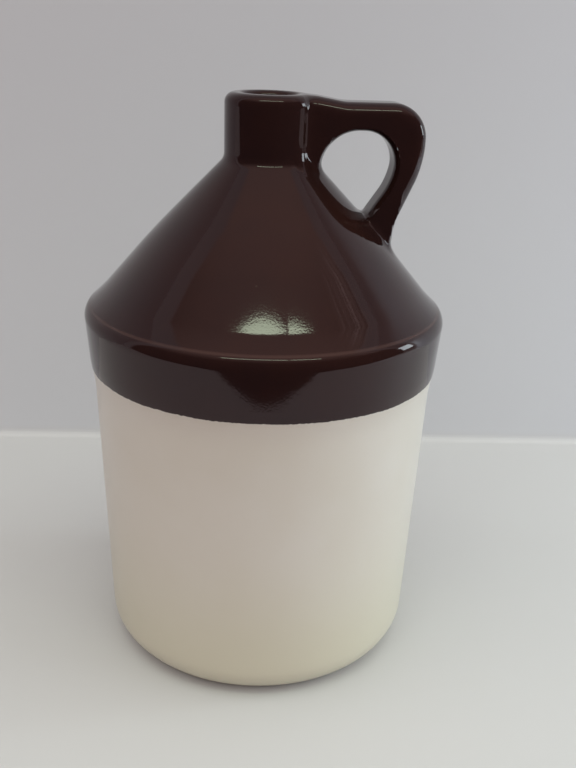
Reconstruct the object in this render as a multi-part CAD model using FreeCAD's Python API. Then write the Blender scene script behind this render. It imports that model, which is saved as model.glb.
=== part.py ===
import FreeCAD, Part
import math
import os
from FreeCAD import Vector

# A one-gallon shoulder jug in glazed stoneware: one hollow fired piece with
# its ear handle.  Millimetres, +Z up.  The origin is the centre of the flat
# underside, and the handle stands out along +X.

# Overall sizes
jug_height = 286.0
ridge_radius = 90.3          # where the side and the shoulder would meet in a sharp corner
ridge_drop = 103.6           # of that corner below the lip

# Side, from the foot up to the ridge
foot_radius = 80.0
foot_rounding = 18.5
body_top_radius = 86.0
body_top_drop = 34.8         # below the ridge
band_foot_radius = 88.0      # the flared band between body and ridge
band_foot_drop = 26.4        # below the ridge
band_rounding = 50.0
ridge_rounding = 6.7

# Shoulder, from the ridge in to the neck
ledge_run = 7.3              # the hollow ledge just inside the ridge
ledge_rise = 6.4
ledge_rounding = 13.7
crown_run = 27.5             # from the ledge in to where the shoulder bulges
crown_rise = 31.9
crown_rounding = 67.0

# Neck and mouth
neck_radius = 21.4
neck_length = 30.3
neck_rounding = 5.4
lip_rounding = 4.6
bore_radius = 12.0
mouth_rounding = 3.0

# Wall of the pot
side_wall = 6.2
shoulder_wall = 9.5          # straight down through the sloping shoulder
floor_thickness = 8.0
inner_foot_rounding = 12.0
inner_ridge_rounding = 15.0
inner_neck_rounding = 14.0

# Handle, a thick ear cut from one outline with a finger hole in it
handle_width = 24.0
handle_rim_rounding = 5.4
handle_start_drop = 0.4      # of its top below the lip, where it leaves the neck
handle_start_rounding = 15.0
handle_slope_run = 14.0      # from the neck to where its top is level
handle_slope_rounding = 22.0
handle_drop = 2.8            # of its level top below the lip
handle_inset = 15.5          # of its outermost face inside the ridge
handle_corner_rounding = 16.5
handle_elbow_drop = 31.0     # from the lip to where its outer face turns inward
handle_elbow_rounding = 45.0
handle_heel_run = 12.6       # from its outermost face in to where it turns down
handle_heel_gap = 13.1       # of the heel above the shoulder
handle_heel_rounding = 25.0
handle_foot_lean = 1.5

# Finger hole
hole_neck_web = 3.2          # of clay between the neck and the hole
hole_top_rim = 13.1          # of clay above the hole
hole_top_rounding = 15.5
hole_outer_rim = 14.6        # of clay beyond the hole
hole_corner_rounding = 13.0
hole_elbow_drop = 22.0       # from the hole's top to where its outer side turns inward
hole_elbow_rounding = 28.0
hole_foot_run = 16.6         # from its outermost side in to where that side ends in the wall

# Where the handle grows out of the pot
root_rounding = 4.5
root_depth = 3.0             # of the handle's ends in the wall

# How far roundings may go where the clay is short
run_share = 0.98             # of a straight run that the roundings at its two ends may take
rim_share = 0.49             # of the handle's thickness that one rim rounding may take

neck_base_height = jug_height - neck_length
ridge_height = jug_height - ridge_drop
ledge_radius = ridge_radius - ledge_run
ledge_height = ridge_height + ledge_rise
crown_radius = ledge_radius - crown_run
crown_height = ledge_height + crown_rise


def rounded_wire(corners):
    """Closed XZ outline through corners of (x, z, rounding), each rounding a tangent arc.

    Where two roundings are too large for the straight run between them, both shrink to fit it.
    """
    count = len(corners)
    points = [Vector(x, 0, z) for x, z, rounding in corners]
    turns = []
    for index, (x, z, rounding) in enumerate(corners):
        back = (points[index - 1] - points[index]).normalize()
        onward = (points[(index + 1) % count] - points[index]).normalize()
        turns.append((back, onward, back.getAngle(onward) / 2))
    setbacks = []
    for (x, z, rounding), (back, onward, half_angle) in zip(corners, turns):
        setbacks.append(rounding / math.tan(half_angle))
    room = []
    for index in range(count):
        run = (points[(index + 1) % count] - points[index]).Length
        wanted = setbacks[index] + setbacks[(index + 1) % count]
        room.append(min(1, run_share * run / wanted) if wanted else 1)
    arcs = []
    for index, (back, onward, half_angle) in enumerate(turns):
        setback = setbacks[index] * min(room[index - 1], room[index])
        bisector = (back + onward).normalize()
        depth = setback / math.cos(half_angle) - setback * math.tan(half_angle)
        here = points[index]
        arcs.append((here + back * setback, here + bisector * depth, here + onward * setback))
    edges = []
    for index, (start, middle, end) in enumerate(arcs):
        if setbacks[index]:
            edges.append(Part.Arc(start, middle, end).toShape())
        edges.append(Part.LineSegment(end, arcs[(index + 1) % count][0]).toShape())
    return Part.Wire(edges)


def revolved(corners):
    """Solid of revolution about the Z axis of a rounded outline."""
    face = Part.Face(rounded_wire(corners))
    return face.revolve(Vector(0, 0, 0), Vector(0, 0, 1), 360)


def slab(corners, width):
    """Solid of a rounded XZ outline, its width centred on the XZ plane."""
    face = Part.Face(rounded_wire(corners))
    face.translate(Vector(0, -width / 2, 0))
    return face.extrude(Vector(0, width, 0))


def shoulder_height(radius):
    """Height of the shoulder's straight runs at a radius."""
    if radius < crown_radius:
        slope = (neck_base_height - crown_height) / (crown_radius - neck_radius)
    else:
        slope = crown_rise / crown_run
    return crown_height + (crown_radius - radius) * slope


def pot():
    """The hollow pot, turned from one closed outline of its wall."""
    inner_side_radius = body_top_radius - side_wall
    inner_shoulder_height = shoulder_height(inner_side_radius) - shoulder_wall
    outside = [
        (0, 0, 0),
        (foot_radius, 0, foot_rounding),
        (body_top_radius, ridge_height - body_top_drop, band_rounding),
        (band_foot_radius, ridge_height - band_foot_drop, band_rounding),
        (ridge_radius, ridge_height, ridge_rounding),
        (ledge_radius, ledge_height, ledge_rounding),
        (crown_radius, crown_height, crown_rounding),
        (neck_radius, neck_base_height, neck_rounding),
        (neck_radius, jug_height, lip_rounding),
        (bore_radius, jug_height, mouth_rounding),
    ]
    inside = [
        (bore_radius, shoulder_height(neck_radius) - shoulder_wall, inner_neck_rounding),
        (inner_side_radius, inner_shoulder_height, inner_ridge_rounding),
        (foot_radius - side_wall, floor_thickness, inner_foot_rounding),
        (0, floor_thickness, 0),
    ]
    return revolved(outside + inside)


def core():
    """What the handle's ends may not reach: the pot's wall less a root depth, and the hollow."""
    neck_core = neck_radius - root_depth
    sunk = root_depth * math.sqrt(2)
    return revolved([
        (0, 0, 0),
        (ledge_radius, 0, 0),
        (ledge_radius, ledge_height - sunk, 0),
        (crown_radius, crown_height - sunk, 0),
        (neck_core, shoulder_height(neck_core) - sunk, 0),
        (neck_core, jug_height + neck_length, 0),
        (0, jug_height + neck_length, 0),
    ])


def handle_outline():
    """Corners of the handle's outline, its two ends inside the pot."""
    start = jug_height - handle_start_drop
    top = jug_height - handle_drop
    outer = ridge_radius - handle_inset
    heel = outer - handle_heel_run
    buried = shoulder_height(heel) - shoulder_wall
    return [
        (bore_radius, start, 0),
        (neck_radius, start, handle_start_rounding),
        (neck_radius + handle_slope_run, top, handle_slope_rounding),
        (outer, top, handle_corner_rounding),
        (outer, jug_height - handle_elbow_drop, handle_elbow_rounding),
        (heel, shoulder_height(heel) + handle_heel_gap, handle_heel_rounding),
        (heel - handle_foot_lean, buried, 0),
        (bore_radius, buried, 0),
    ]


def hole_outline():
    """Corners of the finger hole's outline, its lower side inside the pot."""
    top = jug_height - handle_drop - hole_top_rim
    side = neck_radius + hole_neck_web
    outer = ridge_radius - handle_inset - hole_outer_rim
    foot = outer - hole_foot_run
    return [
        (side, shoulder_height(side) - shoulder_wall, 0),
        (side, top, hole_top_rounding),
        (outer, top, hole_corner_rounding),
        (outer, top - hole_elbow_drop, hole_elbow_rounding),
        (foot, shoulder_height(foot) - shoulder_wall, 0),
    ]


def handle():
    """The ear handle with rounded rims, its ends shaped to lie in the pot's wall."""
    square = slab(handle_outline(), handle_width).cut(slab(hole_outline(), handle_width))
    thinnest = rounded_wire(handle_outline()).distToShape(rounded_wire(hole_outline()))[0]
    rounding = min(handle_rim_rounding, rim_share * min(thinnest, handle_width))
    rims = []
    for edge in square.Edges:
        box = edge.BoundBox
        middle = edge.valueAt((edge.FirstParameter + edge.LastParameter) / 2)
        in_the_open = middle.x > neck_radius - root_depth
        above = middle.z > shoulder_height(middle.x) - shoulder_wall / 2
        if box.YLength < 0.001 and in_the_open and above:
            rims.append(edge)
    return square.makeFillet(rounding, rims).cut(core())


def lies_on(shape, point):
    """Whether a point lies on a shape's skin."""
    return shape.Shells[0].distToShape(Part.Vertex(point))[0] < 0.001


def jug():
    """Pot and handle as one piece, with the clay smoothed into the corner between them."""
    body = pot()
    ear = handle()
    whole = body.fuse(ear)
    roots = []
    for edge in whole.Edges:
        middle = edge.valueAt((edge.FirstParameter + edge.LastParameter) / 2)
        if middle.x > 0 and lies_on(ear, middle) and lies_on(body, middle):
            roots.append(edge)
    return whole.makeFillet(root_rounding, roots)


os.makedirs("parts", exist_ok=True)
jug().exportStep("parts/jug.step")
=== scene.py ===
"""A one-gallon shoulder jug in two-tone glazed stoneware, dressed around its CAD frame.

The pot is turned from one closed outline of its wall.  The ear handle is cut
from a plate, its rims are rounded, and it is joined to the pot with the clay
rolled smooth in the corner between them.  The whole piece is then dressed in
its glazes: dark and glossy over the shoulder and inside, cream and satin
below the dip line, and bare clay underneath.  Lengths are in metres.
"""

import logging
import math
from collections.abc import Callable, Iterator
from contextlib import contextmanager
from dataclasses import dataclass
from enum import Enum

import bmesh
import bpy
from bmesh.types import BMEdge
from bpy.types import (
    Material, MeshPolygon, Node, NodeOutputs, NodeSocket, NodeTree, Object, World)
from mathutils import Matrix, Vector, geometry, noise
from mathutils.bvhtree import BVHTree


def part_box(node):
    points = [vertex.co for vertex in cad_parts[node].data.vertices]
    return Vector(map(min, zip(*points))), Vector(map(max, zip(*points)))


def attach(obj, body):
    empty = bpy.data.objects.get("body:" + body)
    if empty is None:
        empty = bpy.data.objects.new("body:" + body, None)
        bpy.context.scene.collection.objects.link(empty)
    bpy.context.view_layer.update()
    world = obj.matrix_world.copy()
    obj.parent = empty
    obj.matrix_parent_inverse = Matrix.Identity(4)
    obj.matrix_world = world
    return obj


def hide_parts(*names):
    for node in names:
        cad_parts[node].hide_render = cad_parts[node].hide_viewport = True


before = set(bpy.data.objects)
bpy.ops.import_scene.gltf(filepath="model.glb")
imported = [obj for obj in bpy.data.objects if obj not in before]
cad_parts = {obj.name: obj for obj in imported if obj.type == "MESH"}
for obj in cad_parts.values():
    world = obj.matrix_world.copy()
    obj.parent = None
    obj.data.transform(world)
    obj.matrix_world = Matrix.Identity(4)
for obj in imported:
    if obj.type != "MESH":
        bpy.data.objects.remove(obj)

LOG = logging.getLogger("shoulder_jug")
MM = 0.001
TOUCH = 1e-6             # two points nearer than this are one
LEVEL = 0.9              # a normal with more than this of one axis faces along it
ARC = 0.5                # profile of a bevel that is an arc of a circle
NOISE_MEAN = 0.5         # middle of a noise texture's range


class Element(Enum):
    """What an edit-mode selection picks, and its list in an edit mesh."""

    VERT = "verts"
    EDGE = "edges"


class Finish(Enum):
    """Material places of the jug, in the order of its slots."""

    OUTSIDE = 0
    LINER = 1
    UNDERSIDE = 2


# ---- modelling ----


def make_active(piece: Object) -> None:
    """Deselects everything, then selects one object and makes it active.

    Args:
        piece: the object.
    """
    bpy.ops.object.select_all(action="DESELECT")
    piece.select_set(True)
    bpy.context.view_layer.objects.active = piece


@contextmanager
def editing(piece: Object) -> Iterator[None]:
    """Edit mode on one object, left again at the end of the block.

    Args:
        piece: the mesh object to edit.

    Returns:
        A context with nothing in it.
    """
    make_active(piece)
    bpy.ops.object.mode_set(mode="EDIT")
    yield
    bpy.ops.object.mode_set(mode="OBJECT")


def settle(piece: Object) -> None:
    """Moves an object's place, turn and scale into its mesh."""
    make_active(piece)
    bpy.ops.object.transform_apply(location=True, rotation=True, scale=True)


def pick(piece: Object, kind: Element, wanted: Callable[..., bool]) -> None:
    """Selects what meets a test, and deselects the rest, in edit mode.

    Args:
        piece: the mesh object being edited.
        kind: whether vertices or edges are picked.
        wanted: the test of one vertex or edge.
    """
    bpy.ops.mesh.select_mode(type=kind.name)
    bpy.ops.mesh.select_all(action="DESELECT")
    mesh = bmesh.from_edit_mesh(piece.data)
    for element in getattr(mesh, kind.value):
        if wanted(element):
            element.select_set(True)
    bmesh.update_edit_mesh(piece.data)


def modify(piece: Object, kind: str, **settings: object) -> None:
    """Adds a modifier with its settings and applies it.

    Args:
        piece: the mesh object to change.
        kind: the modifier's type, such as BOOLEAN.
        settings: values of the modifier's own properties.
    """
    make_active(piece)
    bpy.ops.object.modifier_add(type=kind)
    modifier = piece.modifiers[-1]
    for name, value in settings.items():
        setattr(modifier, name, value)
    bpy.ops.object.modifier_apply(modifier=modifier.name)


def combine(piece: Object, other: Object, operation: str) -> None:
    """Joins another solid to a piece (UNION) or cuts it out (DIFFERENCE), and uses it up."""
    modify(piece, "BOOLEAN", operation=operation, object=other, solver="MANIFOLD")
    bpy.data.objects.remove(other)


@dataclass(frozen=True)
class Corner:
    """One corner of an outline in the XZ plane.

    Attributes:
        x: distance out from the jug's axis.
        z: height.
        rounding: radius of the corner's arc, or 0.
        step: longest edge on the arc and on the run that leads to it.
    """

    x: float
    z: float
    rounding: float = 0.0
    step: float = 1.2 * MM

    @property
    def place(self) -> Vector:
        """The corner as a point."""
        return Vector((self.x, 0.0, self.z))


@dataclass
class Outline:
    """A rounded outline, drawn corner by corner as a chain of edges.

    Attributes:
        name: name of the object it becomes.
        corners: its corners in order.
        closed: whether the last corner joins the first.
    """

    name: str
    corners: list[Corner]
    closed: bool = True

    def draw(self) -> Object:
        """Draws the outline and rounds and divides it.

        Returns:
            A mesh object of edges only, at the origin.
        """
        first = self.corners[0]
        bpy.ops.object.select_all(action="DESELECT")
        bpy.ops.mesh.primitive_plane_add(size=MM, location=first.place)
        piece = bpy.context.object
        piece.name = self.name
        with editing(piece):
            bpy.ops.mesh.select_mode(type="VERT")
            bpy.ops.mesh.select_all(action="SELECT")
            bpy.ops.mesh.merge(type="CENTER")
            for last, corner in zip(self.corners, self.corners[1:]):
                bpy.ops.mesh.extrude_vertices_move(
                    TRANSFORM_OT_translate={"value": corner.place - last.place})
        settle(piece)
        with editing(piece):
            if self.closed:
                ends = (first.place, self.corners[-1].place)
                pick(piece, Element.VERT, lambda vert: near(vert.co, *ends))
                bpy.ops.mesh.edge_face_add()
            for index, corner in enumerate(self.corners):
                if corner.rounding:
                    self._round(piece, index)
            self._divide(piece)
        return piece

    def _around(self, index: int) -> list[Vector]:
        """Places of a corner, of the one before and of the one after it."""
        count = len(self.corners)
        return [self.corners[number % count].place for number in (index, index - 1, index + 1)]

    def _setback(self, index: int) -> tuple[float, float]:
        """Works out a corner's arc.

        Args:
            index: the corner's number.

        Returns:
            How far the arc starts from the corner, and the angle that it turns through.
        """
        here, before, after = self._around(index)
        turn = math.pi - (before - here).angle(after - here)
        return self.corners[index].rounding * math.tan(turn / 2), turn

    def _divide(self, piece: Object) -> None:
        """Divides each straight run between two arcs into edges no longer than its step.

        Args:
            piece: the outline, in edit mode.
        """
        for index in range(0 if self.closed else 1, len(self.corners)):
            here, before, _ = self._around(index)
            straight = (here - before).length
            for end in (index, index - 1):
                if self.corners[end].rounding:
                    straight -= self._setback(end)[0]
            cuts = math.ceil(straight / self.corners[index].step) - 1
            if cuts > 0:
                pick(piece, Element.EDGE, lambda edge: lies_between(edge, before, here))
                bpy.ops.mesh.subdivide(number_cuts=cuts)

    def _round(self, piece: Object, index: int) -> None:
        """Turns one corner into its arc.

        Args:
            piece: the outline, in edit mode.
            index: the corner's number.
        """
        corner = self.corners[index]
        setback, turn = self._setback(index)
        segments = max(2, math.ceil(corner.rounding * turn / corner.step))
        pick(piece, Element.VERT, lambda vert: near(vert.co, corner.place))
        bpy.ops.mesh.bevel(offset_type="OFFSET", offset=setback, segments=segments,
                           profile=ARC, affect="VERTICES", clamp_overlap=False)


def near(point: Vector, *places: Vector) -> bool:
    """Whether a point is at one of some places."""
    return any((point - place).length < TOUCH for place in places)


def lies_between(edge: BMEdge, start: Vector, end: Vector) -> bool:
    """Whether an edge lies on the straight run from one place to another."""
    feet = [(vert.co, *geometry.intersect_point_line(vert.co, start, end)) for vert in edge.verts]
    return all(near(place, foot) and -TOUCH < share < 1 + TOUCH for place, foot, share in feet)


# ---- the pot ----


@dataclass
class PotWall:
    """The hollow pot, turned from one outline of its wall.

    The drops of the ridge are below the lip, and those of the body's top and the
    band's foot are below the ridge.  Runs and rises go in and up from the corner
    before.

    Attributes:
        height: from the flat underside to the lip.
        turns: how many steps the outline is turned in.
        shoulder_wall: thickness straight down through the sloping shoulder.
        sole_radius: how far out the underside has a coarse mesh.
        ridge_highlight_rise: how far above the ridge's height the lighter band of painted highlight
            runs.
        dip_height: height of the line that the dark glaze ends at.
        dip_rings: where rings of the mesh run below and above it, in millimetres.
        inward: outward part of a normal below which a face looks in.
    """

    height: float
    turns: int = 280
    ridge_radius: float = 90.3 * MM
    ridge_drop: float = 103.6 * MM
    ridge_rounding: float = 6.7 * MM
    foot_radius: float = 80.0 * MM
    foot_rounding: float = 18.5 * MM
    sole_radius: float = 57.8 * MM
    body_top_radius: float = 86.0 * MM
    body_top_drop: float = 34.8 * MM
    band_foot_radius: float = 88.0 * MM
    band_foot_drop: float = 26.4 * MM
    band_rounding: float = 50.0 * MM
    ledge_run: float = 7.3 * MM
    ledge_rise: float = 6.4 * MM
    ledge_rounding: float = 80.0 * MM
    crown_run: float = 27.5 * MM
    crown_rise: float = 31.9 * MM
    crown_rounding: float = 380.0 * MM
    neck_radius: float = 21.4 * MM
    neck_length: float = 30.3 * MM
    neck_rounding: float = 5.4 * MM
    lip_rounding: float = 4.6 * MM
    bore_radius: float = 12.0 * MM
    mouth_rounding: float = 3.0 * MM
    side_wall: float = 6.2 * MM
    shoulder_wall: float = 9.5 * MM
    floor_thickness: float = 8.0 * MM
    inner_foot_rounding: float = 12.0 * MM
    inner_ridge_rounding: float = 15.0 * MM
    inner_neck_rounding: float = 14.0 * MM
    ridge_highlight_rise: float = 2.8 * MM
    dip_height: float = 154.2 * MM
    dip_rings: tuple[float, ...] = (-2.4, -1.0, -0.3, 0.0, 0.3, 1.0, 2.4)
    inward: float = -0.05

    def __post_init__(self) -> None:
        """Works out the places that follow from the sizes."""
        self.ridge_height = self.height - self.ridge_drop
        self.ledge_radius = self.ridge_radius - self.ledge_run
        self.ledge_height = self.ridge_height + self.ledge_rise
        self.crown_radius = self.ledge_radius - self.crown_run
        self.crown_height = self.ledge_height + self.crown_rise
        self.neck_base = self.height - self.neck_length
        run = self.crown_radius - self.neck_radius
        self.top_slope = (self.neck_base - self.crown_height) / run

    def shoulder_height(self, radius: float) -> float:
        """Height of the shoulder's straight runs at a radius."""
        slope = self.top_slope if radius < self.crown_radius else self.crown_rise / self.crown_run
        return self.crown_height + (self.crown_radius - radius) * slope

    def _outside(self) -> list[Corner]:
        """Lists the corners of the outside.

        Returns:
            Those from the middle of the underside out, up and in to the mouth.
        """
        coarse, middling, fine, finest = 8 * MM, 3.5 * MM, 2.0 * MM, 0.6 * MM
        return [
            Corner(0.0, 0.0),
            Corner(self.sole_radius, 0.0, step=coarse),
            Corner(self.foot_radius, 0.0, self.foot_rounding, fine),
            Corner(self.body_top_radius, self.ridge_height - self.body_top_drop,
                   self.band_rounding, middling),
            Corner(self.band_foot_radius, self.ridge_height - self.band_foot_drop,
                   self.band_rounding, fine),
            Corner(self.ridge_radius, self.ridge_height, self.ridge_rounding, finest),
            Corner(self.ledge_radius, self.ledge_height, self.ledge_rounding, finest),
            Corner(self.crown_radius, self.crown_height, self.crown_rounding, fine),
            Corner(self.neck_radius, self.neck_base, self.neck_rounding),
            Corner(self.neck_radius, self.height, self.lip_rounding),
            Corner(self.bore_radius, self.height, self.mouth_rounding, finest),
        ]

    def _inside(self) -> list[Corner]:
        """Lists the corners of the hollow.

        Returns:
            Those from the bore down and out, and in to the middle of the floor.
        """
        side = self.body_top_radius - self.side_wall
        coarse = 6 * MM
        return [
            Corner(self.bore_radius, self.shoulder_height(self.neck_radius) - self.shoulder_wall,
                   self.inner_neck_rounding, coarse / 2),
            Corner(side, self.shoulder_height(side) - self.shoulder_wall,
                   self.inner_ridge_rounding, coarse),
            Corner(self.foot_radius - self.side_wall, self.floor_thickness,
                   self.inner_foot_rounding, coarse),
            Corner(0.0, self.floor_thickness, step=2 * coarse),
        ]

    def build(self) -> Object:
        """Turns the wall's outline about the jug's axis.

        Returns:
            The closed pot, with its liner and underside in their material places.
        """
        piece = Outline("pot", self._outside() + self._inside(), closed=False).draw()
        with editing(piece):
            for offset in self.dip_rings:
                level = self.dip_height + offset * MM
                pick(piece, Element.EDGE, lambda edge: self._crosses(edge, level))
                bpy.ops.mesh.bisect(plane_co=(0, 0, level), plane_no=(0, 0, 1))
            bpy.ops.mesh.select_all(action="SELECT")
            bpy.ops.mesh.spin(steps=self.turns, angle=math.tau, center=(0, 0, 0), axis=(0, 0, 1))
            bpy.ops.mesh.select_all(action="SELECT")
            bpy.ops.mesh.remove_doubles(threshold=TOUCH)
            bpy.ops.mesh.normals_make_consistent(inside=False)
        for finish in Finish:
            piece.data.materials.append(bpy.data.materials.new(finish.name.lower()))
        for face in piece.data.polygons:
            face.material_index = self._finish_of(face).value
        return piece

    def _crosses(self, edge: BMEdge, level: float) -> bool:
        """Whether an edge of the outline's outside crosses a level."""
        (x, _, start), (_, _, end) = (vert.co for vert in edge.verts)
        return (start < level) != (end < level) and x > self.body_top_radius - self.side_wall / 2

    def _finish_of(self, face: MeshPolygon) -> Finish:
        """Sorts a face of the pot into a material place.

        Args:
            face: the face.

        Returns:
            The place that it belongs to.
        """
        outward = face.normal.xy.dot(face.center.xy) / max(face.center.xy.length, TOUCH)
        if face.normal.z < -LEVEL and face.center.z < self.floor_thickness / 2:
            return Finish.UNDERSIDE
        facing_in = outward < self.inward and face.center.z < self.height - self.mouth_rounding
        floor_inside = face.normal.z > LEVEL and face.center.z < self.height / 2
        return Finish.LINER if facing_in or floor_inside else Finish.OUTSIDE


# ---- the handle ----


@dataclass
class EarHandle:
    """The ear handle: a plate with a finger hole, its rims rounded.

    Its drops are below the lip, or below the hole's top for the hole's own.

    Attributes:
        pot: the pot that it is joined to, whose sizes place it.
        rim_rounding, rim_segments: of the rounded rims.
        inset: how far its outermost face stands inside the ridge.
        heel_gap: how far above the shoulder its outer face turns down.
        hole_web, hole_top_rim, hole_outer_rim: the clay left round the hole.
        sunk: how far its ends go into the clay of the pot.
        end_margin: how near to its ends the rims may be rounded.
        past: how far the hole's cutter reaches past its sides.
        grain: size of its mesh's faces.
        evening: how strongly and how often that mesh is evened.
    """

    pot: PotWall
    width: float = 24.0 * MM
    rim_rounding: float = 6.4 * MM
    rim_segments: int = 8
    start_drop: float = 0.4 * MM
    start_rounding: float = 15.0 * MM
    slope_run: float = 14.0 * MM
    slope_rounding: float = 22.0 * MM
    drop: float = 2.8 * MM
    inset: float = 15.5 * MM
    corner_rounding: float = 16.5 * MM
    elbow_drop: float = 31.0 * MM
    elbow_rounding: float = 45.0 * MM
    heel_run: float = 12.6 * MM
    heel_gap: float = 13.1 * MM
    heel_rounding: float = 25.0 * MM
    foot_lean: float = 1.5 * MM
    hole_web: float = 3.2 * MM
    hole_top_rim: float = 13.1 * MM
    hole_top_rounding: float = 18.5 * MM
    hole_outer_rim: float = 14.6 * MM
    hole_corner_rounding: float = 15.0 * MM
    hole_elbow_drop: float = 22.0 * MM
    hole_elbow_rounding: float = 28.0 * MM
    hole_foot_run: float = 16.6 * MM
    sunk: float = 5.0 * MM
    end_margin: float = 0.1 * MM
    past: float = 1.0 * MM
    grain: float = 0.9 * MM
    evening: tuple[float, int] = (0.5, 3)

    def __post_init__(self) -> None:
        """Works out the places that follow from the sizes."""
        self.top = self.pot.height - self.drop
        self.outer = self.pot.ridge_radius - self.inset
        self.heel = self.outer - self.heel_run

    def _plate(self) -> Object:
        """Makes the square-edged plate.

        Returns:
            The handle before its hole is cut, its ends in the pot's clay.
        """
        pot = self.pot
        root = pot.neck_radius - self.sunk
        start = pot.height - self.start_drop
        outline = [
            Corner(root, start),
            Corner(pot.neck_radius, start, self.start_rounding),
            Corner(pot.neck_radius + self.slope_run, self.top, self.slope_rounding),
            Corner(self.outer, self.top, self.corner_rounding),
            Corner(self.outer, pot.height - self.elbow_drop, self.elbow_rounding),
            Corner(self.heel, pot.shoulder_height(self.heel) + self.heel_gap, self.heel_rounding),
            Corner(self.heel - self.foot_lean, pot.shoulder_height(self.heel) - self.sunk),
            Corner(root, pot.shoulder_height(root) - self.sunk),
        ]
        return self._thicken(Outline("handle", outline))

    def _finger_hole(self) -> Object:
        """Makes the clay that the finger hole takes out.

        Returns:
            A plate a little wider than the handle, down into the shoulder.
        """
        pot = self.pot
        side = pot.neck_radius + self.hole_web
        top = self.top - self.hole_top_rim
        outer = self.outer - self.hole_outer_rim
        foot = outer - self.hole_foot_run
        outline = [
            Corner(side, pot.shoulder_height(side) - pot.shoulder_wall),
            Corner(side, top, self.hole_top_rounding),
            Corner(outer, top, self.hole_corner_rounding),
            Corner(outer, top - self.hole_elbow_drop, self.hole_elbow_rounding),
            Corner(foot, pot.shoulder_height(foot) - pot.shoulder_wall),
        ]
        return self._thicken(Outline("finger_hole", outline), self.past)

    def _thicken(self, outline: Outline, past: float = 0.0) -> Object:
        """Fills an outline and gives it the handle's width, centred on the XZ plane.

        Args:
            outline: the closed outline.
            past: how far it reaches past the handle's sides.

        Returns:
            A closed plate.
        """
        piece = outline.draw()
        reach = self.width / 2 + past
        with editing(piece):
            bpy.ops.mesh.select_all(action="SELECT")
            bpy.ops.mesh.edge_face_add()
            bpy.ops.transform.translate(value=(0, -reach, 0))
            bpy.ops.mesh.extrude_region_move(TRANSFORM_OT_translate={"value": (0, 2 * reach, 0)})
            bpy.ops.mesh.select_all(action="SELECT")
            bpy.ops.mesh.normals_make_consistent(inside=False)
        return piece

    def build(self) -> Object:
        """Cuts the finger hole, rounds the rims and evens out the mesh.

        Returns:
            The handle, its ends still square inside the clay of the pot.
        """
        piece = self._plate()
        combine(piece, self._finger_hole(), "DIFFERENCE")
        with editing(piece):
            pick(piece, Element.EDGE, self._is_rim)
            bpy.ops.mesh.bevel(offset_type="OFFSET", offset=self.rim_rounding,
                               segments=self.rim_segments, profile=ARC, affect="EDGES",
                               clamp_overlap=False)
        crisp = piece.copy()
        crisp.data = piece.data.copy()
        bpy.context.collection.objects.link(crisp)
        modify(piece, "REMESH", mode="VOXEL", voxel_size=self.grain)
        modify(piece, "SMOOTH", factor=self.evening[0], iterations=self.evening[1])
        group = piece.vertex_groups.new(name="in_the_open")
        shown = [vert.index for vert in piece.data.vertices
                 if self._is_clear(vert.co, self.sunk / 2)]
        group.add(shown, 1.0, "REPLACE")
        modify(piece, "SHRINKWRAP", wrap_method="NEAREST_SURFACEPOINT", target=crisp,
               vertex_group=group.name)
        piece.vertex_groups.clear()
        bpy.data.objects.remove(crisp)
        return piece

    def _is_clear(self, place: Vector, cover: float) -> bool:
        """Whether a place is outside the pot, or under no more of its clay than a cover."""
        clear = place.x > self.pot.neck_radius - cover
        return clear and place.z > self.pot.shoulder_height(place.x) - cover

    def _is_rim(self, edge: BMEdge) -> bool:
        """Tests whether an edge runs round one of the handle's sides.

        Args:
            edge: an edge of the square-edged handle.

        Returns:
            Whether it does, and is not one of the buried ends.
        """
        if len(edge.link_faces) != 2:
            return False
        sideways = [abs(face.normal.y) > LEVEL for face in edge.link_faces]
        middle = (edge.verts[0].co + edge.verts[1].co) / 2
        return sideways[0] != sideways[1] and self._is_clear(middle, self.sunk - self.end_margin)


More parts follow.
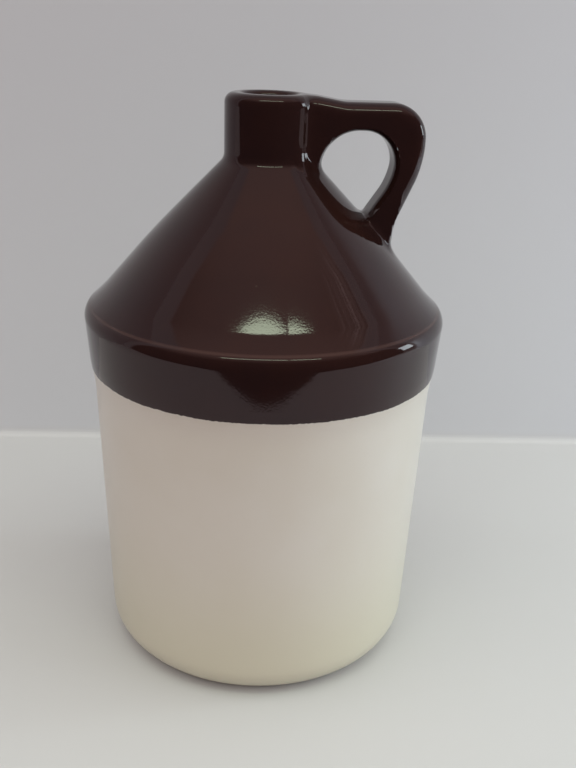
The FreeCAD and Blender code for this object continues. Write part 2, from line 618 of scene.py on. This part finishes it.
@dataclass
class RootClay:
    """The clay smoothed into the corner between the pot and its handle.

    Attributes:
        reach: how close to both skins clay is added.
        rubbings: how often the corner is rubbed over.
        rub: how strongly one rubbing evens the clay.
        seam: how close to both skins the seam's own vertices lie.
        smallest: edges shorter than this are taken out of the seam.
        polish: how far from the corner, and how often, the clay is evened last of all.
    """

    reach: float = 9.0 * MM
    rubbings: int = 70
    rub: float = 0.5
    seam: float = 0.25 * MM
    smallest: float = 0.05 * MM
    polish: tuple[float, int] = (3.0 * MM, 5)

    def join(self, pot: Object, handle: Object) -> Object:
        """Joins the handle to the pot and fills the corner between them.

        Args:
            pot: the hollow pot.
            handle: the handle with its ends inside the pot's clay.

        Returns:
            The jug in one piece.
        """
        skins = [BVHTree.FromObject(part, bpy.context.evaluated_depsgraph_get())
                 for part in (pot, handle)]
        combine(pot, handle, "UNION")
        with editing(pot):
            pick(pot, Element.VERT, self._close_to(skins, self.seam))
            bpy.ops.mesh.dissolve_degenerate(threshold=self.smallest)
        self._fill(pot, self._close_to(skins, self.reach))
        with editing(pot):
            pick(pot, Element.VERT, self._close_to(skins, self.polish[0]))
            bpy.ops.mesh.vertices_smooth(factor=self.rub, repeat=self.polish[1])
        return pot

    def _fill(self, piece: Object, close: Callable[..., bool]) -> None:
        """Adds clay where the outside is hollow, and takes none away.

        Args:
            piece: the joined jug.
            close: the test of where clay may be added.
        """
        mesh = bmesh.new()
        mesh.from_mesh(piece.data)
        skin = {vert for face in mesh.faces if face.material_index == Finish.OUTSIDE.value
                for vert in face.verts}
        corner = [vert for vert in mesh.verts if vert in skin and close(vert)]
        neighbours = [[edge.other_vert(vert) for edge in vert.link_edges] for vert in corner]
        for _ in range(self.rubbings):
            mesh.normal_update()
            shifts = []
            for vert, around in zip(corner, neighbours):
                middle = sum((other.co for other in around), Vector()) / len(around)
                shift = middle - vert.co
                inward = min(0.0, shift.dot(vert.normal))
                shifts.append(self.rub * (shift - vert.normal * inward))
            for vert, shift in zip(corner, shifts):
                vert.co += shift
        mesh.to_mesh(piece.data)
        mesh.free()

    @staticmethod
    def _close_to(skins: list[BVHTree], reach: float) -> Callable[..., bool]:
        """A test of whether a vertex is near every one of some skins."""
        return lambda vert: all(skin.find_nearest(vert.co, reach)[0] for skin in skins)


# ---- the surface ----


@dataclass
class DipEdge:
    """The line that the dark glaze ends at, a little wavy and a little proud.

    Attributes:
        height: mean height of the line.
        waves: its slow waves, as (how many round the jug, how high, where they start).
        bead: how far the glaze stands out just above its edge.
        bead_rise, bead_run: how short it swells, and how far up it thins out again.
        fade: how far above and below the line its waves reach.
        name: the mesh attribute that holds each point's height over the line.
    """

    height: float
    waves: tuple[tuple[int, float, float], ...] = (
        (2, 0.16 * MM, 0.7), (5, 0.10 * MM, 2.9), (13, 0.07 * MM, 4.4), (31, 0.05 * MM, 1.3))
    bead: float = 0.14 * MM
    bead_rise: float = 0.4 * MM
    bead_run: float = 5.0 * MM
    fade: float = 14.0 * MM
    name: str = "over_dip_line"

    def shape(self, piece: Object) -> None:
        """Bends the rings of the mesh near the line to follow it, and raises the bead.

        Args:
            piece: the joined jug.
        """
        over = piece.data.attributes.new(self.name, "FLOAT", "POINT")
        normals = [vert.normal.copy() for vert in piece.data.vertices]
        for vert, normal in zip(piece.data.vertices, normals):
            above = vert.co.z - self.height
            over.data[vert.index].value = above
            share = max(0.0, 1 - abs(above) / self.fade)
            if not share:
                continue
            angle = math.atan2(vert.co.y, vert.co.x)
            wave = sum(high * math.sin(count * angle + start) for count, high, start in self.waves)
            rise = min(1.0, max(0.0, above / self.bead_rise + 0.5))
            proud = self.bead * rise * share * math.exp(-max(0.0, above) / self.bead_run)
            outward = Vector((vert.co.x, vert.co.y, 0)).normalized()
            facing_out = normal.dot(outward) > 0
            vert.co += Vector((0, 0, wave * share * share)) + outward * proud * facing_out


@dataclass
class HandUnevenness:
    """The slight unevenness of a skin that was shaped wet and then fired.

    Attributes:
        depth: how far the skin swells and sinks.
        spread: size of the swells.
        foot: height below which the skin stays true, so that the jug stands flat.
    """

    depth: float = 0.10 * MM
    spread: float = 34.0 * MM
    foot: float = 12.0 * MM

    def shape(self, piece: Object) -> None:
        """Moves the whole skin along its normals by slow noise.

        Args:
            piece: the joined jug.
        """
        normals = [vert.normal.copy() for vert in piece.data.vertices]
        for vert, normal in zip(piece.data.vertices, normals):
            share = min(1.0, max(0.0, vert.co.z / self.foot))
            swell = noise.noise(vert.co / self.spread)
            vert.co += normal * self.depth * share * swell


# ---- finishes ----

Colour = tuple[float, float, float]
Span = tuple[float, float]


class Mix:
    """Adds and links the nodes of one material or shader group."""

    def __init__(self, tree: NodeTree) -> None:
        """Starts from an empty node tree."""
        self.tree = tree
        tree.nodes.clear()

    @classmethod
    def of(cls, owner: Material | World) -> "Mix":
        """The mix of a material or a world, started afresh."""
        owner.use_nodes = True
        return cls(owner.node_tree)

    def add(self, kind: str, inputs: dict[str | int, object] | None = None,
            **settings: object) -> Node:
        """Adds one node.

        Args:
            kind: the node's type, without its ShaderNode prefix.
            inputs: a number, colour or socket for each input that is set.
            settings: values of the node's own properties.

        Returns:
            The new node.
        """
        node = self.tree.nodes.new(kind if kind.startswith("NodeGroup") else "ShaderNode" + kind)
        for name, value in settings.items():
            setattr(node, name, value)
        for name, value in (inputs or {}).items():
            socket = node.inputs[name]
            if isinstance(value, NodeSocket):
                self.tree.links.new(value, socket)
            elif isinstance(value, tuple) and len(value) == 3 and socket.type == "RGBA":
                socket.default_value = (*value, 1.0)
            else:
                socket.default_value = value
        return node

    def place(self) -> NodeSocket:
        """The point on the piece, in the piece's own coordinates."""
        return self.add("TexCoord").outputs["Object"]

    def sum(self, operation: str, *values: object) -> NodeSocket:
        """One Math node on numbers or sockets, and its result."""
        return self.add("Math", dict(enumerate(values)), operation=operation).outputs[0]

    def fade(self, value: object, start: object, end: object) -> NodeSocket:
        """A smooth step of a value, from 0 at start to 1 at end."""
        inputs = {"Value": value, "From Min": start, "From Max": end}
        return self.add("MapRange", inputs, interpolation_type="SMOOTHSTEP").outputs[0]

    def blend(self, share: object, first: object, second: object,
              kind: str = "RGBA") -> NodeSocket:
        """A blend of two colours (RGBA) or two numbers (FLOAT), by the share of the second."""
        places, out = {"RGBA": ((0, 6, 7), 2), "FLOAT": ((0, 2, 3), 0)}[kind]
        return self.add("Mix", dict(zip(places, (share, first, second))), data_type=kind).outputs[out]


class GroupMix(Mix):
    """The nodes of a shader group that turns a position and some numbers into one number."""

    def __init__(self, name: str, output: str, *numbers: str) -> None:
        """Starts the group.

        Args:
            name: the group's name.
            output: name of what it puts out.
            numbers: names of the numbers that it takes.
        """
        tree = bpy.data.node_groups.new(name, "ShaderNodeTree")
        sockets = [("Position", "INPUT", "Vector")]
        sockets += [(label, "INPUT", "Float") for label in numbers]
        for label, side, kind in sockets + [(output, "OUTPUT", "Float")]:
            tree.interface.new_socket(label, in_out=side, socket_type="NodeSocket" + kind)
        super().__init__(tree)
        self.given = self.add("NodeGroupInput").outputs

    def ready(self, value: NodeSocket) -> NodeTree:
        """The group, with a value as what it puts out."""
        self.add("NodeGroupOutput", {0: value})
        return self.tree


def orange_peel_group() -> NodeTree:
    """Makes the fine dimpling of a fired glaze.

    Returns:
        A group that puts out its height in metres.
    """
    mix = GroupMix("orange_peel", "Height", "Size", "Depth")
    scale = mix.sum("DIVIDE", 1.0, mix.given["Size"])
    dimples = mix.add("TexNoise", {"Vector": mix.given["Position"], "Scale": scale,
                                   "Detail": 1.5, "Roughness": 0.45})
    centred = mix.sum("SUBTRACT", dimples.outputs[0], NOISE_MEAN)
    return mix.ready(mix.sum("MULTIPLY", centred, mix.given["Depth"]))


def speck_group() -> NodeTree:
    """Makes scattered small round specks, such as pinholes or iron spots.

    Returns:
        A group that puts out their mask.
    """
    least_width, core = 0.35, 0.5
    mix = GroupMix("specks", "Mask", "Spacing", "Width", "Share")
    spacing = mix.given["Spacing"]
    scale = mix.sum("DIVIDE", 1.0, spacing)
    cells = mix.add("TexVoronoi", {"Vector": mix.given["Position"], "Scale": scale})
    distance = mix.sum("MULTIPLY", cells.outputs["Distance"], spacing)
    draw = mix.add("SeparateColor", {"Color": cells.outputs["Color"]})
    chosen = mix.sum("LESS_THAN", draw.outputs[0], mix.given["Share"])
    grown = mix.sum("ADD", draw.outputs[1], least_width)
    width = mix.sum("MULTIPLY", mix.given["Width"], grown)
    speck = mix.fade(distance, width, mix.sum("MULTIPLY", width, core))
    return mix.ready(mix.sum("MULTIPLY", speck, chosen))


def cloud_group() -> NodeTree:
    """Makes slow clouds of colour.

    Returns:
        A group that puts out how far inside a cloud a point is.
    """
    thin, thick = 0.3, 0.7
    mix = GroupMix("clouds", "Value", "Size")
    scale = mix.sum("DIVIDE", 1.0, mix.given["Size"])
    clouds = mix.add("TexNoise", {"Vector": mix.given["Position"], "Scale": scale,
                                  "Detail": 3.0, "Roughness": 0.5})
    return mix.ready(mix.fade(clouds.outputs[0], thin, thick))


@dataclass(frozen=True)
class Glaze:
    """One fired glaze.

    Attributes:
        colour, cloudy: its colour, and the one that it drifts to in clouds.
        dimple_size, dimple_depth: of its orange peel.
        speck_spacing, speck_width, speck_share, speck_depth: of its pinholes or spots.
    """

    colour: Colour
    cloudy: Colour
    cloud_size: float
    roughness: float
    dimple_size: float
    dimple_depth: float
    speck_spacing: float
    speck_width: float
    speck_share: float
    speck_colour: Colour
    speck_depth: float


DARK_GLAZE = Glaze(
    colour=(0.0150, 0.0060, 0.0052), cloudy=(0.0185, 0.0068, 0.0052), cloud_size=30 * MM,
    roughness=0.05, dimple_size=0.9 * MM, dimple_depth=0.007 * MM,
    speck_spacing=9 * MM, speck_width=0.22 * MM, speck_share=0.3,
    speck_colour=(0.16, 0.12, 0.09), speck_depth=0.05 * MM)
CREAM_GLAZE = Glaze(
    colour=(0.62, 0.575, 0.50), cloudy=(0.64, 0.60, 0.535), cloud_size=55 * MM,
    roughness=0.30, dimple_size=2.6 * MM, dimple_depth=0.02 * MM,
    speck_spacing=24 * MM, speck_width=0.4 * MM, speck_share=0.16,
    speck_colour=(0.42, 0.37, 0.30), speck_depth=0.05 * MM)
BARE_CLAY = Glaze(
    colour=(0.46, 0.37, 0.27), cloudy=(0.52, 0.43, 0.33), cloud_size=18 * MM,
    roughness=0.75, dimple_size=0.8 * MM, dimple_depth=0.06 * MM,
    speck_spacing=3.5 * MM, speck_width=0.5 * MM, speck_share=0.3,
    speck_colour=(0.20, 0.13, 0.08), speck_depth=0.08 * MM)


@dataclass
class GlazeShop:
    """Makes the jug's materials from its glazes.

    Attributes:
        dip: the line that parts the two glazes of the outside.
        jag: how far the dark glaze's edge runs in and out over a short way.
        jag_size: how long those runs are.
        edge: half the width that the two glazes blend over.
        ior: of the glass in the glazes.
        shine: the tint of their reflections.
        foot_tint: the darker, yellower colour that the lower glaze turns to towards the foot.
        tint_bottom, tint_top: the heights that it changes between.
        ridge_highlight_height, ridge_highlight_reach: where a lighter band runs along the ridge, a
        painted highlight standing in for the thin reflection there.
    """

    dip: DipEdge
    ridge_highlight_height: float
    jag: float = 1.4 * MM
    jag_size: float = 2.2 * MM
    edge: float = 0.12 * MM
    ior: float = 1.47
    shine: Colour = (1.0, 0.84, 0.92)
    foot_tint: Colour = (0.58, 0.54, 0.42)
    tint_bottom: float = 10.0 * MM
    tint_top: float = 95.0 * MM
    # Painted highlight: the ridge band's lighter colour stands in for the thin reflection along the
    # ridge.
    ridge_highlight_reach: float = 0.9 * MM
    ridge_highlight_colour: Colour = (0.044, 0.022, 0.018)

    def __post_init__(self) -> None:
        """Builds the shared groups."""
        self.peel = orange_peel_group()
        self.specks = speck_group()
        self.clouds = cloud_group()

    def _lay(self, mix: Mix, glaze: Glaze,
             place: NodeSocket) -> tuple[NodeSocket, NodeSocket]:
        """Lays out one glaze's colour and relief.

        Args:
            mix: the material's mix.
            glaze: the glaze.
            place: the point on the jug.

        Returns:
            Its colour and height sockets.
        """
        clouds = mix.add("Group", {"Position": place, "Size": glaze.cloud_size},
                         node_tree=self.clouds)
        specks = mix.add("Group", {
            "Position": place, "Spacing": glaze.speck_spacing, "Width": glaze.speck_width,
            "Share": glaze.speck_share}, node_tree=self.specks)
        peel = mix.add("Group", {
            "Position": place, "Size": glaze.dimple_size, "Depth": glaze.dimple_depth},
            node_tree=self.peel)
        drifting = mix.blend(clouds.outputs[0], glaze.colour, glaze.cloudy)
        colour = mix.blend(specks.outputs[0], drifting, glaze.speck_colour)
        pits = mix.sum("MULTIPLY", specks.outputs[0], -glaze.speck_depth)
        return colour, mix.sum("ADD", peel.outputs[0], pits)

    def _finish(self, mix: Mix, colour: object, height: object, roughness: object) -> None:
        """Adds the surface shader and its relief.

        Args:
            mix: the material's mix.
            colour: of the surface.
            height: of its relief, in metres.
            roughness: of the surface.
        """
        relief = mix.add("Bump", {"Height": height, "Distance": 1.0, "Strength": 1.0})
        surface = mix.add("BsdfPrincipled", {
            "Base Color": colour, "Roughness": roughness, "IOR": self.ior,
            "Specular Tint": self.shine, "Normal": relief.outputs[0]})
        mix.add("OutputMaterial", {"Surface": surface.outputs[0]})

    def one_glaze(self, material: Material, glaze: Glaze) -> None:
        """Dresses a material in one glaze all over."""
        mix = Mix.of(material)
        self._finish(mix, *self._lay(mix, glaze, mix.place()), glaze.roughness)

    def two_glazes(self, material: Material, below: Glaze, above: Glaze) -> None:
        """Dresses a material in one glaze below the dip line and another above it.

        Args:
            material: the material to dress.
            below: the glaze under the line.
            above: the glaze over the line.
        """
        mix = Mix.of(material)
        place = mix.place()
        over = mix.add("Attribute", attribute_name=self.dip.name).outputs["Fac"]
        runs = mix.add("TexNoise", {"Vector": place, "Scale": 1 / self.jag_size,
                                    "Detail": 3.0, "Roughness": 0.6})
        centred = mix.sum("SUBTRACT", runs.outputs[0], NOISE_MEAN)
        jagged = mix.sum("MULTIPLY", centred, self.jag)
        share = mix.fade(mix.sum("ADD", over, jagged), -self.edge, self.edge)
        lower, lower_height = self._lay(mix, below, place)
        level = mix.add("SeparateXYZ", {0: place}).outputs["Z"]
        # Darker and yellower towards the foot.
        thin = mix.fade(level, self.tint_top, self.tint_bottom)
        lower = mix.blend(thin, lower, self.foot_tint)
        upper, upper_height = self._lay(mix, above, place)
        # Painted highlight: the upper glaze turns lighter in a thin band along the ridge.
        off_ridge = mix.sum("ABSOLUTE", mix.sum("SUBTRACT", level, self.ridge_highlight_height))
        ridge_highlight_share = mix.fade(off_ridge, self.ridge_highlight_reach, 0.0)
        upper = mix.blend(ridge_highlight_share, upper, self.ridge_highlight_colour)
        self._finish(
            mix, mix.blend(share, lower, upper),
            mix.blend(share, lower_height, upper_height, "FLOAT"),
            mix.blend(share, below.roughness, above.roughness, "FLOAT"))


@dataclass
class ShoulderJug:
    """The whole jug: pot, handle, root, dip line and glazes."""

    height: float

    def __post_init__(self) -> None:
        """Sizes the parts from the jug's height."""
        self.pot = PotWall(self.height)
        self.handle = EarHandle(self.pot)
        self.root = RootClay()
        self.dip = DipEdge(self.pot.dip_height)
        self.unevenness = HandUnevenness()

    def build(self) -> Object:
        """Models the jug in one piece.

        Returns:
            The finished mesh object at the origin.
        """
        pot = self.pot.build()
        LOG.info("pot turned: %d faces", len(pot.data.polygons))
        handle = self.handle.build()
        LOG.info("handle cut and rounded: %d faces", len(handle.data.polygons))
        jug = self.root.join(pot, handle)
        LOG.info("handle joined: %d faces", len(jug.data.polygons))
        self.dip.shape(jug)
        self.unevenness.shape(jug)
        make_active(jug)
        bpy.ops.object.shade_smooth()
        jug.name = "stoneware_jug"
        return jug

    def dress(self, jug: Object) -> None:
        """Gives the jug its glazes and its bare underside.

        Args:
            jug: the finished mesh object.
        """
        shop = GlazeShop(self.dip, self.pot.ridge_height + self.pot.ridge_highlight_rise)
        places = jug.data.materials
        shop.two_glazes(places[Finish.OUTSIDE.value], CREAM_GLAZE, DARK_GLAZE)
        shop.one_glaze(places[Finish.LINER.value], DARK_GLAZE)
        shop.one_glaze(places[Finish.UNDERSIDE.value], BARE_CLAY)


# ---- the studio ----


@dataclass
class Sweep:
    """The pale floor and the wall behind it, bent from one sheet.

    Attributes:
        behind: how far the wall stands behind the jug's axis.
        turned: how far the sheet is turned about the vertical.
        front: how far the floor reaches in front of that axis.
        bend: how far from the corner the bend starts.
    """

    behind: float = 0.236
    turned: float = math.radians(-2.7)
    front: float = 0.35
    width: float = 8.0
    wall_height: float = 1.6
    bend: float = 5 * MM
    bend_segments: int = 4
    roughness: float = 0.6
    floor_colour: Colour = (0.58, 0.565, 0.56)
    wall_colour: Colour = (0.60, 0.595, 0.615)

    def build(self) -> None:
        """Makes the sheet."""
        bpy.ops.object.select_all(action="DESELECT")
        bpy.ops.mesh.primitive_plane_add(size=1, location=(0, (self.behind - self.front) / 2, 0))
        sheet = bpy.context.object
        sheet.name = "floor_and_wall"
        sheet.scale = (self.width, self.behind + self.front, 1)
        settle(sheet)
        with editing(sheet):
            pick(sheet, Element.EDGE,
                 lambda edge: all(vert.co.y > self.behind - MM for vert in edge.verts))
            bpy.ops.mesh.extrude_region_move(
                TRANSFORM_OT_translate={"value": (0, 0, self.wall_height)})
            pick(sheet, Element.EDGE, lambda edge: len(edge.link_faces) == 2)
            bpy.ops.mesh.bevel(offset=self.bend, segments=self.bend_segments, affect="EDGES")
        sheet.rotation_euler = (0, 0, self.turned)
        settle(sheet)
        sheet.data.materials.append(self._material())

    def _material(self) -> Material:
        """Mixes matt paint, of one colour on the floor and another on the wall.

        Returns:
            The material, clear from behind.
        """
        material = bpy.data.materials.new("studio_sweep")
        mix = Mix.of(material)
        height = mix.add("SeparateXYZ", {0: mix.place()}).outputs["Z"]
        share = mix.fade(height, 0.0, 2 * self.bend)
        colour = mix.blend(share, self.floor_colour, self.wall_colour)
        paint = mix.add("BsdfPrincipled", {"Base Color": colour, "Roughness": self.roughness})
        clear = mix.add("BsdfTransparent")
        behind = mix.add("NewGeometry").outputs["Backfacing"]
        both = mix.add("MixShader", {0: behind, 1: paint.outputs[0], 2: clear.outputs[0]})
        mix.add("OutputMaterial", {"Surface": both.outputs[0]})
        return material


@dataclass
class Softbox:
    """A rectangular lamp.

    Attributes:
        place: its middle.
        size: its two sides.
        level: its radiance.
        colour: its colour.
        turned: degrees about the vertical of a lamp that hangs level; None faces the jug.
        in_reflections: whether glossy surfaces show it.
    """

    name: str
    place: tuple[float, float, float]
    size: tuple[float, float]
    level: float
    colour: Colour = (1.0, 1.0, 1.0)
    turned: float | None = None
    in_reflections: bool = True

    def build(self, target: Vector) -> None:
        """Hangs the lamp, facing the target if it does not hang level.

        Args:
            target: middle of the jug.
        """
        lamp = bpy.data.lights.new(self.name, "AREA")
        lamp.shape = "RECTANGLE"
        lamp.size, lamp.size_y = self.size
        lamp.energy = self.level * math.pi * self.size[0] * self.size[1]
        lamp.color = self.colour
        holder = bpy.data.objects.new(self.name, lamp)
        bpy.context.scene.collection.objects.link(holder)
        holder.location = self.place
        if self.turned is None:
            away = holder.location - target
            holder.rotation_euler = away.to_track_quat("Z", "Y").to_euler()
        else:
            holder.rotation_euler.z = math.radians(self.turned)
        holder.visible_glossy = self.in_reflections
        holder.visible_camera = False


@dataclass
class Room:
    """What surrounds the floor and wall: pale behind, darker in front.

    Attributes:
        backdrop: the colour that the camera sees past the floor and wall.
        pale: what glossy surfaces mirror from the sides and back.
        front: what they mirror from the room in front, and ceiling from over it.
        curtain: what they mirror from the folds of a curtain high on the right.
        fill_low, fill_high: the light on matt surfaces from the horizon and from overhead.
        front_span, ceiling_span, fill_span: how far forward or up each of these fades in.
        fold_count, fold_span: how often the curtain folds, and how sharply.
        curtain_side, curtain_bottom, curtain_top: where its edges fade.
    """

    backdrop: Colour = (0.50, 0.50, 0.50)
    pale: Colour = (0.44, 0.41, 0.42)
    front: Colour = (0.07, 0.05, 0.055)
    ceiling: Colour = (0.66, 0.48, 0.42)
    curtain: Colour = (1.0, 0.80, 0.74)
    fill_low: Colour = (0.22, 0.11, 0.14)
    fill_high: Colour = (1.55, 1.55, 1.51)
    front_span: Span = (0.02, -0.02)
    ceiling_span: Span = (0.5, 1.0)
    fill_span: Span = (0.0, 0.9)
    fold_count: float = 30.0
    fold_span: Span = (0.45, 0.62)
    curtain_side: Span = (math.radians(-24), math.radians(-14))
    curtain_bottom: Span = (0.56, 0.66)
    curtain_top: Span = (0.86, 0.74)

    def build(self) -> None:
        """Makes the world."""
        world = bpy.data.worlds.new("studio_room")
        bpy.context.scene.world = world
        mix = Mix.of(world)
        way = mix.add("SeparateXYZ", {0: mix.add("TexCoord").outputs["Generated"]}).outputs
        upward = mix.fade(way["Z"], *self.ceiling_span)
        ahead = mix.blend(upward, self.front, self.ceiling)
        hung = mix.blend(self._folds(mix, way), ahead, self.curtain)
        in_front = mix.fade(way["Y"], *self.front_span)
        mirrored = mix.blend(in_front, self.pale, hung)
        overhead = mix.fade(way["Z"], *self.fill_span)
        fill = mix.blend(overhead, self.fill_low, self.fill_high)
        path = mix.add("LightPath")
        room = mix.blend(path.outputs["Is Glossy Ray"], fill, mirrored)
        colour = mix.blend(path.outputs["Is Camera Ray"], room, self.backdrop)
        light = mix.add("Background", {"Color": colour})
        mix.add("OutputWorld", {"Surface": light.outputs[0]})

    def _folds(self, mix: Mix, way: NodeOutputs) -> NodeSocket:
        """Makes the pale folds of the curtain.

        Args:
            mix: the world's mix.
            way: the parts of the direction looked in.

        Returns:
            A mask over directions.
        """
        angle = mix.sum("ARCTAN2", way["Y"], way["X"])
        cloth = mix.add("TexNoise", {"W": angle, "Scale": self.fold_count, "Detail": 1.0},
                        noise_dimensions="1D")
        folds = mix.fade(cloth.outputs[0], *self.fold_span)
        side = mix.fade(angle, *self.curtain_side)
        bottom = mix.fade(way["Z"], *self.curtain_bottom)
        top = mix.fade(way["Z"], *self.curtain_top)
        area = mix.sum("MULTIPLY", mix.sum("MULTIPLY", bottom, top), side)
        return mix.sum("MULTIPLY", area, folds)


@dataclass
class Viewpoint:
    """The camera.

    Attributes:
        distance: from the jug's axis, along the floor.
        height: above the floor.
        round_about: how far it stands round the jug from the front, in degrees.
        heading, pitch, roll: how far it points off the axis, down and askew, in degrees.
        lens: focal length in picture heights.
    """

    distance: float = 0.46557
    height: float = 0.32049
    round_about: float = -4.0
    heading: float = 1.63
    pitch: float = 21.26
    roll: float = 2.02
    lens: float = 1.236979

    def build(self) -> None:
        """Makes the camera and makes it the scene's own."""
        matrix = Matrix.Rotation(math.radians(self.round_about), 4, "Z")
        matrix @= Matrix.Translation((0.0, -self.distance, self.height))
        for angle, axis in ((-self.heading, "Z"), (90 - self.pitch, "X"), (self.roll, "Z")):
            matrix @= Matrix.Rotation(math.radians(angle), 4, axis)
        camera = bpy.data.cameras.new("camera")
        holder = bpy.data.objects.new("camera", camera)
        bpy.context.scene.collection.objects.link(holder)
        holder.matrix_world = matrix
        camera.sensor_fit = "VERTICAL"
        camera.sensor_width = camera.sensor_height
        camera.lens = self.lens * camera.sensor_height
        bpy.context.scene.camera = holder


DAYLIGHT: Colour = (0.72, 1.0, 0.68)
SOFTBOXES = (
    Softbox("key_softbox", (1.06, -0.16, 0.27), (0.9, 0.52), 3.5, (0.76, 0.96, 1.06),
            in_reflections=False),
    Softbox("side_window", (1.217, 0.034, 0.473), (0.21, 0.34), 6.5, (0.80, 1.0, 1.0)),
    Softbox("left_pane", (-0.117, -0.533, 1.095), (0.578, 0.054), 11.3, DAYLIGHT, -4.5),
    Softbox("right_pane", (0.3285, -0.527, 1.095), (0.281, 0.054), 11.3, DAYLIGHT, 6.4),
)


def main() -> None:
    """Builds the jug and its studio."""
    logging.basicConfig(level=logging.INFO, format="%(name)s: %(message)s")
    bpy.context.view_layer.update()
    low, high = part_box("jug")
    bpy.context.scene.view_settings.view_transform = "Standard"
    Viewpoint().build()

    maker = ShoulderJug(high.z - low.z)
    jug = maker.build()
    maker.dress(jug)
    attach(jug, "root")
    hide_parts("jug")

    Sweep().build()
    Room().build()
    middle = (low + high) / 2
    for softbox in SOFTBOXES:
        softbox.build(middle)


if __name__ == "__main__":
    main()
